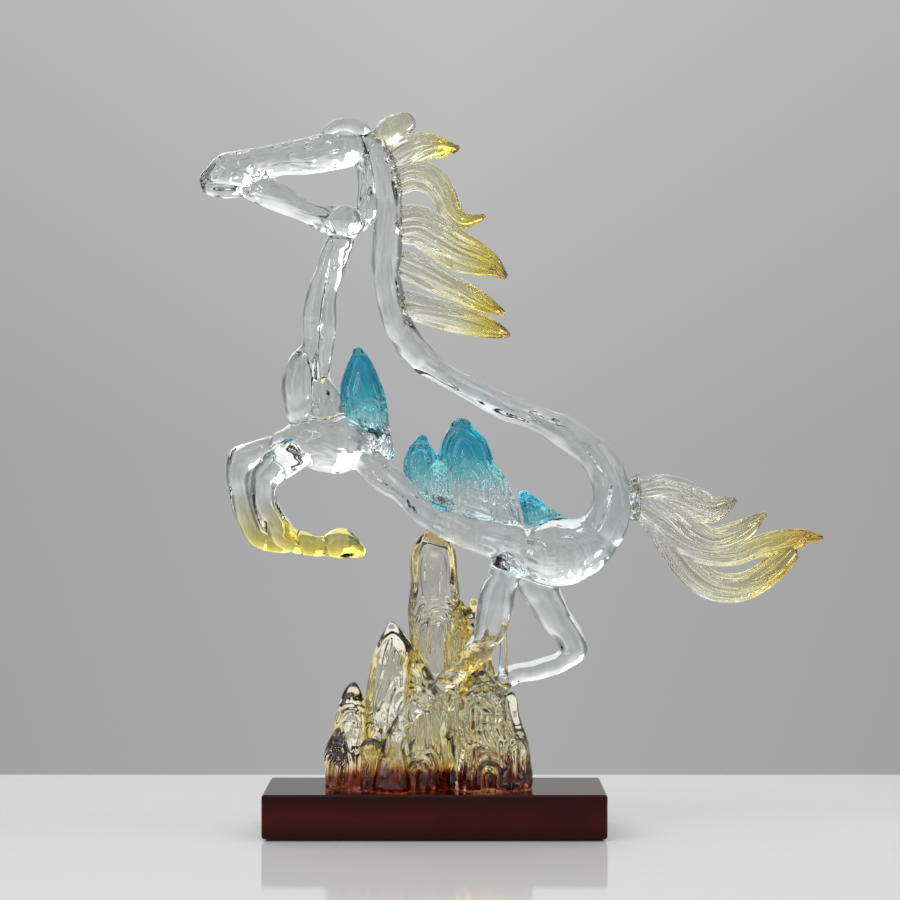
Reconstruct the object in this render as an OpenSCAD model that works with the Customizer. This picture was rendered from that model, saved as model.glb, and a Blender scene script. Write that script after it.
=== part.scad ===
// Leaping horse in clear cast glass, on a glass rock pile and a dark rectangular plinth.
// The horse runs along -X, +Y is its far side and +Z is up. Millimetres.
// The origin is the middle of the underside, on the surface that it stands on.

/* [Plinth] */
// Length of the plinth
plinth_w = 145; // [135:1:170]
// Depth of the plinth
plinth_d = 64; // [58:1:80]
// Height of the plinth without its pad
plinth_h = 18.5; // [12:0.5:30]
// Chamfer along every edge of the plinth
plinth_chamfer = 0.8; // [0.3:0.1:2]
// Thickness of the felt pad under the plinth
pad_t = 1; // [0.5:0.1:2]
// Distance from the plinth's edge to the pad's edge
pad_inset = 2; // [0:0.5:6]

/* [Glass] */
// Depth of the horse's bars, as a share of the modelled depth
depth = 1; // [0.85:0.05:1.15]
// Sides of each bar's section
sides = 12; // [10:2:16]
// Rings between two points of a bar's path
rings = 2; // [2:1:3]

/* [Hidden] */

clear = "lightcyan";
teal = "darkturquoise";
yellow = "gold";
amber = "goldenrod";
brown = "saddlebrown";
oxblood = "#4a1512";
felt = "dimgray";

glass_z = pad_t + plinth_h;   // top of the plinth, where the glass starts

// Each path below is a list of [x, y, z, half width, half depth], with z above the plinth.

belly_path = [
    [-34, 0, 146, 6, 10], [-24, 0, 135.5, 6.3, 10], [-15, 0, 128, 6.3, 10], [-6, 0, 120, 6.8, 10.5],
    [7.5, 0, 113, 7.3, 12], [20.5, 0, 108, 7.8, 13.5], [33, 0, 104.5, 8.8, 14.5], [40, 0, 102.5, 8, 13]
];
shoulder_path = [
    [-64, 0, 146, 7, 10], [-57, 0, 147, 10.3, 14], [-48, 0, 147, 12.6, 16.5], [-39, 0, 147.5, 12, 15.5],
    [-31, 0, 147, 8.5, 12]
];
throat_root_path = [[-46, 0, 152, 10, 12], [-47, 0, 162, 8, 9.5], [-48.5, 0, 171, 5.5, 7.5]];
haunch_path = [
    [77, 0, 112.5, 4.5, 8], [71, 0, 107, 9.8, 15], [61, 0, 102, 13.8, 17.5], [49.5, 0, 100.5, 14, 17.5],
    [40, 0, 99.5, 11, 15], [33, 0, 99, 6, 10]
];
back_path = [
    [-11.5, 0, 190.5, 6, 7.5], [-4.5, 0, 183, 5.6, 7.5], [4.5, 0, 176.5, 5.3, 7.5], [15, 0, 170.5, 5.1, 8],
    [28, 0, 164.5, 5.1, 8.5], [41, 0, 159, 5.5, 9.5], [53, 0, 153.5, 6, 10.5], [63.5, 0, 147, 6.6, 11.5],
    [71, 0, 140, 7.2, 12.5], [75.3, 0, 130.5, 7.8, 13.5], [76, 0, 120, 8.5, 14.5], [71.5, 0, 110, 10, 15.5]
];
neck_path = [
    [-28, 0, 277, 4.6, 6], [-23.5, 0, 269, 5.3, 7], [-20.5, 0, 259, 5.3, 7.5], [-19.5, 0, 248, 5.6, 8],
    [-20.5, 0, 237.5, 6.4, 8.5], [-21, 0, 226.5, 6.7, 8.5], [-20, 0, 216, 6.3, 8.5],
    [-19, 0, 207.5, 5.8, 8], [-16, 0, 198.5, 6, 7.8], [-10.5, 0, 189.5, 6, 7.5]
];
throat_front_path = [
    [-41, 0, 238, 3.8, 6], [-45, 0, 227.5, 3.6, 5.5], [-49.5, 0, 217, 3.6, 5.5], [-52, 0, 206, 3.7, 5.5],
    [-52.5, 0, 194.5, 3.7, 5.5], [-52.5, 0, 183.5, 3.3, 5.5], [-52, 0, 173, 3, 5.5], [-51, 0, 160, 3, 5.5]
];
throat_back_path = [
    [-37, 0, 237, 3, 5], [-41, 0, 225, 3, 4.5], [-45, 0, 214, 3, 4.5], [-46.3, 0, 203, 3.3, 4.5],
    [-45.8, 0, 194.5, 3, 4.5], [-47, 0, 184.5, 3, 4.5], [-48, 0, 175, 3, 4.5], [-48.5, 0, 163, 3, 4.5]
];
breast_path = [
    [-56.5, 0, 187, 2.3, 5], [-58.3, 0, 180.5, 5.3, 9], [-58.8, 0, 173, 6.8, 10.5],
    [-58.5, 0, 165.5, 6.5, 10.5], [-57, 0, 158, 5, 9], [-56, 0, 152.5, 3, 6]
];
head_path = [
    [-25.5, 0, 275.5, 5, 6.5], [-33, 0, 274.3, 6.4, 8], [-41.5, 0, 273, 7.6, 9.8],
    [-50.5, 0, 271.8, 7.8, 10], [-58, 0, 270.5, 7.4, 9.3], [-66.5, 0, 269.3, 6.9, 8.4],
    [-74.5, 0, 267.5, 7.2, 8], [-81, 0, 265.2, 8.8, 8.2], [-87, 0, 262.8, 10.2, 8.4],
    [-92.5, 0, 260.7, 9, 7.4], [-95.5, 0, 259.6, 6.5, 5.5]
];
jaw_path = [
    [-79, 0, 257, 5, 6.6], [-71.5, 0, 255.2, 6.2, 7], [-64, 0, 251, 5.6, 7], [-56, 0, 247.3, 4.6, 7],
    [-48.5, 0, 245, 5.6, 8], [-41.5, 0, 243, 7.4, 9], [-35.5, 0, 242.5, 7, 8.5], [-31, 0, 244, 4.5, 6.5]
];
cheek_path = [
    [-30, 0, 271, 3.8, 6.5], [-29, 0, 262, 4.2, 6.5], [-29, 0, 254, 4.2, 6.5],
    [-29.5, 0, 247.5, 4, 6.5], [-32, 0, 242, 3.8, 6]
];
forelock_path = [
    [-47, 0, 281, 1.8, 3], [-42.5, 0, 284, 2.6, 4.2], [-36.5, 0, 284.6, 3.2, 4.8],
    [-31.5, 0, 282.5, 3.2, 5], [-28, 0, 279.5, 2.5, 4]
];
ear_path = [
    [-25.5, -3, 277, 4.2, 3], [-20.5, -5, 280.6, 5.8, 3.5], [-15.4, -6.2, 283.4, 5.4, 3.1],
    [-11, -6.8, 285.8, 3.6, 2.2]
];
upper_arm_far_path = [
    [-55, 7, 147, 6, 7.5], [-64, 9, 147.3, 5.5, 7], [-73, 10, 145, 5.5, 6.8], [-81, 10.5, 141.5, 5.9, 6.5]
];
forearm_far_path = [
    [-83.5, 10.5, 140.5, 5.8, 6.5], [-85.8, 10.5, 130, 4.7, 5.6], [-84, 10.5, 121.5, 4.3, 5.2],
    [-81, 10.5, 113, 4, 5]
];
hoof_fore_far_path = [
    [-80.5, 10.5, 111.5, 4.2, 5], [-78, 10.5, 106.8, 3.8, 5], [-72, 10.5, 104.8, 3.7, 5],
    [-65.5, 10.5, 103.5, 3.3, 4.8], [-60, 10.5, 103.3, 2.2, 4]
];
upper_arm_near_path = [
    [-50, -7, 148, 7, 8], [-58, -8.5, 143, 7.2, 7.8], [-67, -10, 138, 7, 7.4], [-72, -10.5, 133, 6.2, 6.8]
];
forearm_near_path = [
    [-72.3, -10.5, 134, 6, 6.6], [-73.5, -10.5, 125, 5.4, 6], [-71, -10.5, 118.5, 5.2, 5.7],
    [-67.3, -10.5, 112.5, 5.2, 5.5]
];
hoof_fore_near_path = [
    [-66.8, -10.5, 111.8, 5.3, 5.6], [-62.5, -10.5, 106.5, 5.4, 6], [-56.5, -10.5, 105.2, 5.5, 6.2],
    [-50.5, -10.5, 103.5, 3.9, 5.6], [-46, -10.5, 104, 4.3, 6], [-41, -10.5, 105, 6.3, 6.6],
    [-35.5, -10.5, 103.3, 4.8, 5.8], [-31.3, -10.5, 100.8, 2.3, 4.4]
];
standing_thigh_path = [
    [33, -7, 98, 7, 8], [28.5, -9, 87, 7.3, 8.5], [26.5, -10, 78.5, 8, 8.2], [24, -11, 70, 7.2, 7.4],
    [20.5, -12.5, 62, 5.9, 6.5], [14, -14.5, 55.2, 4.8, 5.8], [6.5, -16.5, 48, 4, 5.2],
    [-2, -18.5, 41, 3.9, 5], [-10.5, -20.5, 33, 3.9, 4.8], [-15.5, -21.5, 26, 4.1, 4.8]
];
hoof_standing_path = [
    [-18.5, -22, 0, 8.2, 7.3], [-18.5, -22, 6.5, 7.4, 6.8], [-18.5, -22, 13, 6, 6],
    [-18, -21.8, 20, 4.8, 5.2], [-15.3, -21.5, 26.5, 4.1, 4.8]
];
bent_thigh_path = [
    [40.4, 6.2, 93.6, 8.4, 8.3], [43.5, 7.2, 87, 8.4, 8.4], [47.5, 8, 80.5, 7.7, 8], [52, 8.5, 72, 7, 7.4],
    [57, 9, 64.5, 6.4, 6.7], [60.2, 9, 58.2, 5.7, 6.1]
];
bent_shin_path = [
    [61.2, 9, 57.2, 5.2, 5.9], [54.5, 8, 53, 4.7, 5.6], [45, 6, 50, 4.1, 5.2], [35.5, 4, 48, 3.9, 5],
    [29.5, 2, 45.5, 4.5, 5], [26.5, 0, 40, 3.8, 4.6]
];
support_path = [[29.5, -3, 69, 1.6, 1.8], [29.5, -3, 58, 1.8, 1.8], [29, -3, 46, 2.4, 2.2]];

mane_paths = [
    [[-21, 0, 269, 5.4, 4.5], [-11.5, 0, 273.5, 6.6, 5.4], [-4, 0, 275, 5.8, 5.2], [2, 0, 274.6, 4.6, 4.2],
     [7.5, 0, 274.3, 2.4, 2.4], [10.7, 0, 274.8, 0.7, 0.8]],
    [[-19.5, 0, 258.5, 5.8, 4.6], [-9, 1, 263, 6.8, 5.8], [-0.5, 2, 260, 6, 5.8], [4, 2, 253.5, 5, 5.2],
     [7, 2, 247, 4.8, 4.6], [12, 1, 243, 3.7, 3.6], [17.5, 0, 243.7, 2.2, 2.2], [22, 0, 245, 0.7, 0.8]],
    [[-18.5, 0, 242, 8.2, 5.2], [-7, -1, 240.5, 8.8, 6], [1.5, -2, 235.5, 8.6, 6.4],
     [10, -2, 230, 8.4, 6], [18, -1, 226.5, 6.8, 4.8], [25, 0, 223, 4.1, 3.2], [31, 0, 218.4, 0.9, 0.9]],
    [[-18.5, 0, 225, 7.2, 5], [-6.5, 1, 221.5, 6.8, 5.4], [2, 2, 217, 5.6, 5.2], [11, 2, 213, 5, 4.6],
     [19.5, 1, 208.5, 4.2, 3.6], [26, 0, 205, 2.6, 2.4], [30.5, 0, 203, 0.9, 0.9]],
    [[-17, 0, 208.5, 6, 4.8], [-6.5, -1, 205.5, 6.2, 5.4], [2, -2, 202.8, 6.2, 5.6],
     [11, -2, 200.4, 6, 5.2], [19.5, -1, 198, 5.2, 4.4], [27, 0, 195.6, 3.4, 2.8], [32.5, 0, 193.6, 0.9, 0.9]]
];

tail_paths = [
    [[86, 0, 127, 5.2, 7], [97, 1, 127.3, 6.6, 7.5], [105.5, 2, 125, 7.3, 7], [112.5, 3, 121, 6.8, 6],
     [119.5, 3, 119, 5.4, 5], [126, 2, 121, 3.4, 3.4], [131, 1, 123.4, 0.9, 0.9]],
    [[86, 0, 121, 5.5, 7], [99, -1, 115, 7.2, 7.2], [109.5, -2, 108, 7, 6.6], [119, -2, 105.3, 6, 5.8],
     [129, -1, 108.3, 5.2, 4.8], [136.5, 0, 113, 3.5, 3.2], [143, 0, 117.8, 0.9, 0.9]],
    [[95, 0, 113, 5.2, 6], [107.5, 0, 103.5, 5.2, 6], [118.5, 0, 99.3, 4.2, 5.4], [129, 0, 99.6, 4.2, 5.2],
     [138.5, 0, 102.7, 4.6, 5], [147.5, 0, 105.3, 5, 4.6], [157, 0, 106.8, 4, 3.8],
     [163, 0, 107, 2.4, 2.4], [167.5, 0, 106.6, 0.9, 0.9]],
    [[90, 0, 117, 4, 5], [97, 1, 109.5, 5, 6], [103, 2, 101, 5.4, 6], [110, 2, 92, 6, 6],
     [119.5, 2, 86, 6.2, 5.8], [130, 1, 84.5, 6, 5.4], [140, 1, 88.3, 5.7, 5], [147.5, 0, 95.5, 5.6, 4.6],
     [153.5, 0, 102, 4.4, 4]]
];

chest_peak_path = [
    [-20, 0, 143, 3, 6], [-23.5, 0, 148.5, 5.5, 8], [-27, 0, 154.5, 8.2, 9], [-30, 0, 161.5, 10, 9],
    [-31.7, 0, 169, 10, 8.5], [-32, 0, 176, 7.8, 7], [-32.5, 0, 183, 5, 5], [-33, 0, 186.5, 2.6, 3]
];
belly_peak_paths = [
    [[17, 0, 114, 13.5, 10], [15.5, 0, 124, 14, 9.5], [14, 0, 134, 12.8, 8.5], [12.8, 0, 143, 11.6, 7.4],
     [11.6, 0, 150, 8.8, 6], [11.2, 0, 154.6, 5, 4]],
    [[-3, 0, 121, 7, 8.5], [-4.5, 0, 130, 8.4, 8.5], [-6, 0, 139.5, 7.8, 7.5], [-6, 0, 145.5, 5.4, 5.4],
     [-5.5, 0, 148.8, 2.6, 3]],
    [[3, -4, 119, 7.4, 7], [2, -4.5, 129, 6.4, 6], [1.5, -4.5, 136, 3.6, 3.6]],
    [[30.5, 0, 110, 7, 8.5], [29, 0, 118, 7.2, 8], [26.5, 0, 126.5, 6.3, 6.5], [25, 0, 134, 4.2, 4.5],
     [24.5, 0, 137.5, 2.2, 2.6]]
];
flank_peak_paths = [
    [[46.5, 0, 107.4, 6.8, 8.8], [45, 0, 113, 6.8, 8], [42, 0, 119.5, 5.2, 6], [38.5, 0, 124.5, 3, 3.4]],
    [[53.3, 0.3, 107.3, 5.5, 7.6], [51.7, 0.3, 112.7, 5, 6.8], [48.6, 0.2, 117, 3.2, 4.4],
     [47, 0, 119, 1.6, 2.4]],
    [[60.2, -0.2, 106.2, 4, 6.6], [58, -0.2, 111.5, 3.2, 4.8], [56, 0, 114.3, 1.8, 2.6]]
];

rock_tall_path = [
    [3.5, 8, 0, 15.5, 16], [3, 8, 20, 14.8, 15], [3, 7, 37.5, 13.8, 13], [2, 6, 54.5, 12.8, 11.5],
    [0.5, 5, 72, 11.5, 10], [-0.5, 4, 85, 10.6, 9.2], [-0.5, 3, 97, 9.4, 8], [-0.5, 2, 105, 7.6, 6.4],
    [-0.5, 1, 109.5, 4.4, 4.4]
];
rock_left_path = [
    [-13.5, -3, 0, 18, 15], [-13.8, -3, 12, 17, 14.5], [-14, -3, 24.5, 16.2, 13.5],
    [-15, -2, 39.5, 14.6, 12], [-16.5, -1, 50.5, 12, 10], [-17.5, -1, 59, 8.8, 8], [-18, 0, 65.5, 5.2, 5.5],
    [-18.5, 0, 68.8, 2.4, 3]
];
rock_left_fold_path = [
    [-5, -12, 0, 8.5, 8], [-5, -11.5, 20, 8.2, 8], [-6, -10, 40, 7.4, 7.5], [-7.5, -8.5, 51.5, 5.2, 5.5],
    [-8, -8, 56.5, 2.8, 3.2]
];
rock_low_path = [
    [-37, -2, 0, 9.2, 14], [-36.8, -2, 12, 8.8, 13], [-36.5, -2, 22.5, 8, 11], [-35.5, -1, 33, 5.9, 8],
    [-35, -1, 40, 3.8, 5], [-34.8, -1, 43, 2, 3]
];
rock_low_fold_path = [
    [-42, -13, 0, 5, 6], [-42, -12, 14, 4.6, 5.5], [-41.5, -11, 22, 3.4, 4], [-41.5, -11, 25, 1.7, 2.2]
];
rock_mid_path = [
    [13, -2, 0, 13, 14], [12.8, -2, 20, 12.4, 13], [12, -1, 40, 11.2, 11], [11.5, 0, 56, 9.4, 9],
    [11, 1, 68, 7, 7], [11, 1, 75, 4.4, 4.6], [11, 1, 78.5, 2.2, 2.6]
];
rock_mid_fold_path = [
    [20.5, 8, 0, 9, 12], [20, 8, 30, 8.2, 10], [19.5, 7, 56, 6.4, 7.5], [17.8, 6, 71, 4.6, 5.5],
    [16.8, 6, 79, 2.6, 3.4]
];
rock_right_path = [
    [23, -5, 0, 17.5, 16], [22.3, -5, 10, 16.4, 15.5], [21.3, -5, 20, 14.8, 14.5],
    [20.5, -5, 30, 12.6, 12.5], [19.5, -4, 40, 9.8, 9.5], [18.5, -4, 47, 6, 6.4], [18.5, -4, 50, 3, 3.6]
];
rock_right_fold_path = [
    [36.5, -6, 0, 5.6, 9], [35.8, -6, 14, 5, 8], [34.5, -5, 26, 3.9, 6], [33.2, -4, 36, 2.6, 3.6],
    [32.8, -4, 39.5, 1.4, 2]
];

pebble_at = [-27, -20.5, 17.5];
pebble_r = 5.2;
pebble_foot_r = 4.6;

collar_path = [
    [83, 0, 124.2, 8, 8], [84.8, 0, 124, 9.5, 8.8], [86.6, 0, 123.8, 10, 9.2], [88.4, 0, 123.5, 9.2, 8.6]
];

dome_steps = 2;      // rings in each rounded end of a bar

// --- Curves and bars ---

function unit(v) = v / norm(v);

// Catmull-Rom curve through b and c, at t from 0 to 1
function curve(a, b, c, d, t) =
    0.5 * (2 * b + (c - a) * t + (2 * a - 5 * b + 4 * c - d) * t * t + (3 * b - a - 3 * c + d) * t * t * t);

// A path's points with more rows between them
function smooth_path(p) =
    let (last = len(p) - 1)
    [for (i = [0:last - 1], j = [0:rings - 1])
        curve(p[max(i - 1, 0)], p[i], p[i + 1], p[min(i + 2, last)], j / rings), p[last]];

function place(row) = [row[0], row[1] * depth, row[2]];

function heading(rows, i) =
    unit(place(rows[min(i + 1, len(rows) - 1)]) - place(rows[max(i - 1, 0)]));

// One ring of the section, w wide in the XZ plane and d deep along Y
function ring(centre, ahead, w, d) =
    let (across = unit([0, 1, 0] - ahead.y * ahead), side = cross(across, ahead))
    [for (k = [0:sides - 1]) let (a = 360 * k / sides) centre + w * cos(a) * side + d * sin(a) * across];

// Rings of the rounded end at row i, which bulges along the heading times way
function dome(rows, i, way) =
    let (row = rows[i], ahead = heading(rows, i), reach = min(row[3], row[4]))
    [for (s = [1:dome_steps]) let (a = 90 * s / (dome_steps + 0.6))
        ring(place(row) + way * reach * sin(a) * ahead, ahead, row[3] * cos(a), row[4] * cos(a) * depth)];

function reversed(v) = [for (i = [len(v) - 1:-1:0]) v[i]];

// A bar along a path; a bar that stands on the plinth has a flat foot
module bar(path, flat_foot = false) {
    rows = smooth_path(path);
    body = [for (i = [0:len(rows) - 1])
        ring(place(rows[i]), heading(rows, i), rows[i][3], rows[i][4] * depth)];
    // the ring at the foot is level, so that it lies on the plinth
    foot = [for (k = [0:sides - 1]) [body[0][k].x, body[0][k].y, rows[0][2]]];
    start = flat_foot ? [foot] : concat(reversed(dome(rows, 0, -1)), [body[0]]);
    all_rings = concat(start, [for (i = [1:len(body) - 1]) body[i]], dome(rows, len(rows) - 1, 1));
    n = len(all_rings);
    skin = [for (i = [0:n - 2], k = [0:sides - 1], half = [0, 1])
        let (a = i * sides + k, b = i * sides + (k + 1) % sides)
        half == 0 ? [a, b + sides, b] : [a, a + sides, b + sides]];
    first_cap = [for (k = [0:sides - 1]) k];
    last_cap = [for (k = [sides - 1:-1:0]) (n - 1) * sides + k];
    polyhedron(points = [for (r = all_rings, p = r) p], faces = concat(skin, [first_cap, last_cap]));
}

// One casting: the first child, fitted against the castings given after it
module cast(tint) {
    color(tint) translate([0, 0, glass_z]) resize([0, 0, 0]) difference() {
        children(0);
        for (i = [1:1:$children - 1]) children(i);
    }
}

// --- Forms before fitting ---

module back_form() bar(back_path);
module belly_form() bar(belly_path);
module breast_form() bar(breast_path);
module haunch_form() bar(haunch_path);
module head_form() bar(head_path);
module jaw_form() { bar(jaw_path); bar(cheek_path); }
module neck_form() bar(neck_path);
module shoulder_form() { bar(shoulder_path); bar(throat_root_path); }
module throat_form() { bar(throat_front_path); bar(throat_back_path); }
module mane_form(i) bar(mane_paths[i]);
module foreleg_far_form() { bar(upper_arm_far_path); bar(forearm_far_path); }
module foreleg_near_form() { bar(upper_arm_near_path); bar(forearm_near_path); }
module bent_leg_form() { bar(bent_thigh_path); bar(bent_shin_path); }
module belly_peaks_form() for (p = belly_peak_paths) bar(p);
module rock_left_form() { bar(rock_left_path, true); bar(rock_left_fold_path, true); }
module rock_low_form() { bar(rock_low_path, true); bar(rock_low_fold_path, true); }
module rock_mid_form() { bar(rock_mid_path, true); bar(rock_mid_fold_path, true); }
module rock_right_form() { bar(rock_right_path, true); bar(rock_right_fold_path, true); }

module ear_form(side) scale([1, side, 1]) bar(ear_path);

module collar_form() bar(collar_path);

module legs_form() {
    bar(standing_thigh_path);
    bar(hoof_standing_path, true);
    bent_leg_form();
    bar(support_path);
}

// --- Plinth ---

// A slab with its corners cut off, across two of its sizes
module chamfered_slab(a, b, h, c) {
    linear_extrude(h, center = true)
        polygon([[c - a / 2, -b / 2], [a / 2 - c, -b / 2], [a / 2, c - b / 2], [a / 2, b / 2 - c],
            [a / 2 - c, b / 2], [c - a / 2, b / 2], [-a / 2, b / 2 - c], [-a / 2, c - b / 2]]);
}

module plinth() {
    color(oxblood) translate([0, 0, pad_t + plinth_h / 2]) intersection() {
        chamfered_slab(plinth_w, plinth_d, plinth_h, plinth_chamfer);
        rotate([90, 0, 0]) chamfered_slab(plinth_w, plinth_h, plinth_d, plinth_chamfer);
        rotate([0, 90, 0]) chamfered_slab(plinth_h, plinth_d, plinth_w, plinth_chamfer);
    }
}

module felt_pad() {
    color(felt) translate([pad_inset - plinth_w / 2, pad_inset - plinth_d / 2, 0])
        cube([plinth_w - 2 * pad_inset, plinth_d - 2 * pad_inset, pad_t]);
}

// --- Rocks ---

module pebble_form() {
    translate(pebble_at) sphere(pebble_r, $fn = 16);
    translate([pebble_at.x, pebble_at.y, 0]) cylinder(pebble_at.z, pebble_foot_r, pebble_r * 0.8, $fn = 12);
}

module rock_tall() cast(amber) { bar(rock_tall_path, true); belly_form(); legs_form(); }
module rock_left() cast(amber) { rock_left_form(); bar(rock_tall_path, true); legs_form(); }
module rock_low() cast(brown) { rock_low_form(); rock_left_form(); }
module rock_right() cast(brown) {
    rock_right_form();
    bar(rock_tall_path, true);
    rock_left_form();
    legs_form();
}
module rock_mid() cast(amber) {
    rock_mid_form();
    bar(rock_tall_path, true);
    rock_left_form();
    rock_right_form();
    legs_form();
}
module rock_pebble() cast(brown) { pebble_form(); rock_left_form(); rock_low_form(); legs_form(); }

// --- Horse ---

module belly() cast(clear) belly_form();
module shoulder() cast(clear) { shoulder_form(); belly_form(); }
module haunch() cast(clear) { haunch_form(); belly_form(); }
module back() cast(clear) { back_form(); haunch_form(); }
module neck() cast(clear) { neck_form(); back_form(); }
module head() cast(clear) { head_form(); neck_form(); }
module lower_jaw() cast(clear) { jaw_form(); head_form(); neck_form(); }
module throat() cast(clear) { throat_form(); jaw_form(); shoulder_form(); }
module breast() cast(clear) { breast_form(); throat_form(); shoulder_form(); }
module forelock() cast(clear) { bar(forelock_path); head_form(); neck_form(); }
module ear_near() cast(clear) { ear_form(1); head_form(); neck_form(); bar(forelock_path); }
module ear_far() cast(clear) { ear_form(-1); head_form(); neck_form(); bar(forelock_path); ear_form(1); }

module foreleg_far() cast(clear) {
    foreleg_far_form();
    shoulder_form();
    breast_form();
    bar(hoof_fore_far_path);
}
module hoof_fore_far() cast(yellow) bar(hoof_fore_far_path);
module foreleg_near() cast(clear) {
    foreleg_near_form();
    shoulder_form();
    breast_form();
    foreleg_far_form();
    bar(hoof_fore_near_path);
}
module hoof_fore_near() cast(yellow) { bar(hoof_fore_near_path); bar(hoof_fore_far_path); }
module hind_leg_standing() cast(clear) {
    bar(standing_thigh_path);
    haunch_form();
    belly_form();
    bar(hoof_standing_path, true);
}
module hoof_standing() cast(brown) { bar(hoof_standing_path, true); }
module hind_leg_bent() cast(clear) {
    bent_leg_form();
    haunch_form();
    belly_form();
    bar(standing_thigh_path);
}
module support_rod() cast(clear) { bar(support_path); bar(standing_thigh_path); bent_leg_form(); }

module tail_collar() cast(clear) { collar_form(); back_form(); haunch_form(); }
module tail() cast(yellow) {
    for (p = tail_paths) bar(p);
    collar_form();
    back_form();
    haunch_form();
}
module mane_lock(i) cast(yellow) {
    mane_form(i);
    neck_form();
    head_form();
    if (i > 0) mane_form(i - 1);
    if (i == 0) ear_form(1);
    if (i == 0) ear_form(-1);
}

module chest_peak() cast(teal) { bar(chest_peak_path); shoulder_form(); belly_form(); }
module belly_peaks() cast(teal) { belly_peaks_form(); belly_form(); }
module flank_peak() cast(teal) {
    for (p = flank_peak_paths) bar(p);
    belly_form();
    haunch_form();
}

felt_pad();
plinth();
rock_tall();
rock_left();
rock_low();
rock_mid();
rock_right();
rock_pebble();
belly();
shoulder();
haunch();
back();
neck();
throat();
breast();
head();
lower_jaw();
forelock();
ear_near();
ear_far();
foreleg_far();
hoof_fore_far();
foreleg_near();
hoof_fore_near();
hind_leg_standing();
hoof_standing();
hind_leg_bent();
support_rod();
tail_collar();
tail();
mane_lock(0);  // mane_lock_1
mane_lock(1);  // mane_lock_2
mane_lock(2);  // mane_lock_3
mane_lock(3);  // mane_lock_4
mane_lock(4);  // mane_lock_5
chest_peak();
belly_peaks();
flank_peak();
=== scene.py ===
"""Looks for the leaping glass horse: glass pieces made from the CAD solids, with strand locks, ridged peaks
and rocks, procedural glass, and a plain soft studio. Metres, in the CAD's frame."""
import math

import bpy
import numpy as np
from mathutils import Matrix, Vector
from mathutils.kdtree import KDTree


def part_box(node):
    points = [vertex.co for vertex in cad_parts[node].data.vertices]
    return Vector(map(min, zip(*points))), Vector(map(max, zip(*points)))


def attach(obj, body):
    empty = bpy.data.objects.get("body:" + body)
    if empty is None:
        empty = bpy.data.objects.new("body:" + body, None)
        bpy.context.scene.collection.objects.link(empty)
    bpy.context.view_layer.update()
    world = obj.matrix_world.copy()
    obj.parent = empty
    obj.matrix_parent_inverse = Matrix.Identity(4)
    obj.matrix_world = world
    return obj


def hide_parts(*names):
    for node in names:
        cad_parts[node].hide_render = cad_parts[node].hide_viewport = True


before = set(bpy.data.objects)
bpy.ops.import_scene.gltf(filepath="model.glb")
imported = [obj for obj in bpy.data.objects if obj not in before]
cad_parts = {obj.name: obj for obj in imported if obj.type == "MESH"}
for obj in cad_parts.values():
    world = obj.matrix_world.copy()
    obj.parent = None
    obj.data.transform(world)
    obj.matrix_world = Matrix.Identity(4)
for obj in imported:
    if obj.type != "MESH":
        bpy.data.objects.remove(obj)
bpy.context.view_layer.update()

MM = 0.001
DEEP = np.array([0.0, 1.0, 0.0])
BODY = "root"


# --- Places in the frame ---

def node_box(node):
    """A CAD node's lowest and highest corner, as arrays."""
    low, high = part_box(node)
    return np.array(low), np.array(high)


def spot(node, u, v, y=0.5):
    """A point at the given shares of a node's box: u along X, v up, y along Y."""
    low, high = node_box(node)
    return low + np.array([u, y, v]) * (high - low)


PLINTH_LOW, PLINTH_HIGH = node_box("plinth")
PLINTH_TOP = PLINTH_HIGH[2]


# --- Mesh tools ---

def coords(obj):
    """The vertices of an object as an array."""
    flat = np.empty(len(obj.data.vertices) * 3)
    obj.data.vertices.foreach_get("co", flat)
    return flat.reshape(-1, 3)


def set_coords(obj, points):
    """Moves the object's vertices to these points."""
    obj.data.vertices.foreach_set("co", np.ascontiguousarray(points, dtype=np.float64).ravel())
    obj.data.update()


def normals(obj):
    """The vertex normals as an array."""
    flat = np.empty(len(obj.data.vertices) * 3)
    obj.data.vertices.foreach_get("normal", flat)
    return flat.reshape(-1, 3)


def make_object(name, points, faces):
    """A mesh object from arrays of points and faces."""
    mesh = bpy.data.meshes.new(name)
    mesh.from_pydata([tuple(p) for p in points], [], [tuple(int(i) for i in f) for f in faces])
    mesh.update()
    obj = bpy.data.objects.new(name, mesh)
    bpy.context.scene.collection.objects.link(obj)
    return obj


def welded(node):
    """A CAD node's points and triangles with its split vertices joined."""
    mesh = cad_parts[node].data
    mesh.calc_loop_triangles()
    points = np.array([v.co for v in mesh.vertices])
    triangles = np.array([t.vertices for t in mesh.loop_triangles])
    _, first, index = np.unique(np.round(points, 7), axis=0, return_index=True, return_inverse=True)
    return points[first], index.ravel()[triangles]


def grown(points, triangles, amount):
    """The same solid with its skin moved out by amount."""
    a, b, c = (points[triangles[:, k]] for k in range(3))
    face = np.cross(b - a, c - a)
    out = np.zeros_like(points)
    for k in range(3):
        np.add.at(out, triangles[:, k], face)
    out /= np.maximum(np.linalg.norm(out, axis=1, keepdims=True), 1e-12)
    return points + amount * out


def merge(parts):
    """Several (points, faces) sets as one."""
    points = np.vstack([p for p, _ in parts])
    starts = np.cumsum([0] + [len(p) for p, _ in parts[:-1]])
    faces = [tuple(int(i) + int(s) for i in f) for (_, fs), s in zip(parts, starts) for f in fs]
    return points, faces


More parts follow.
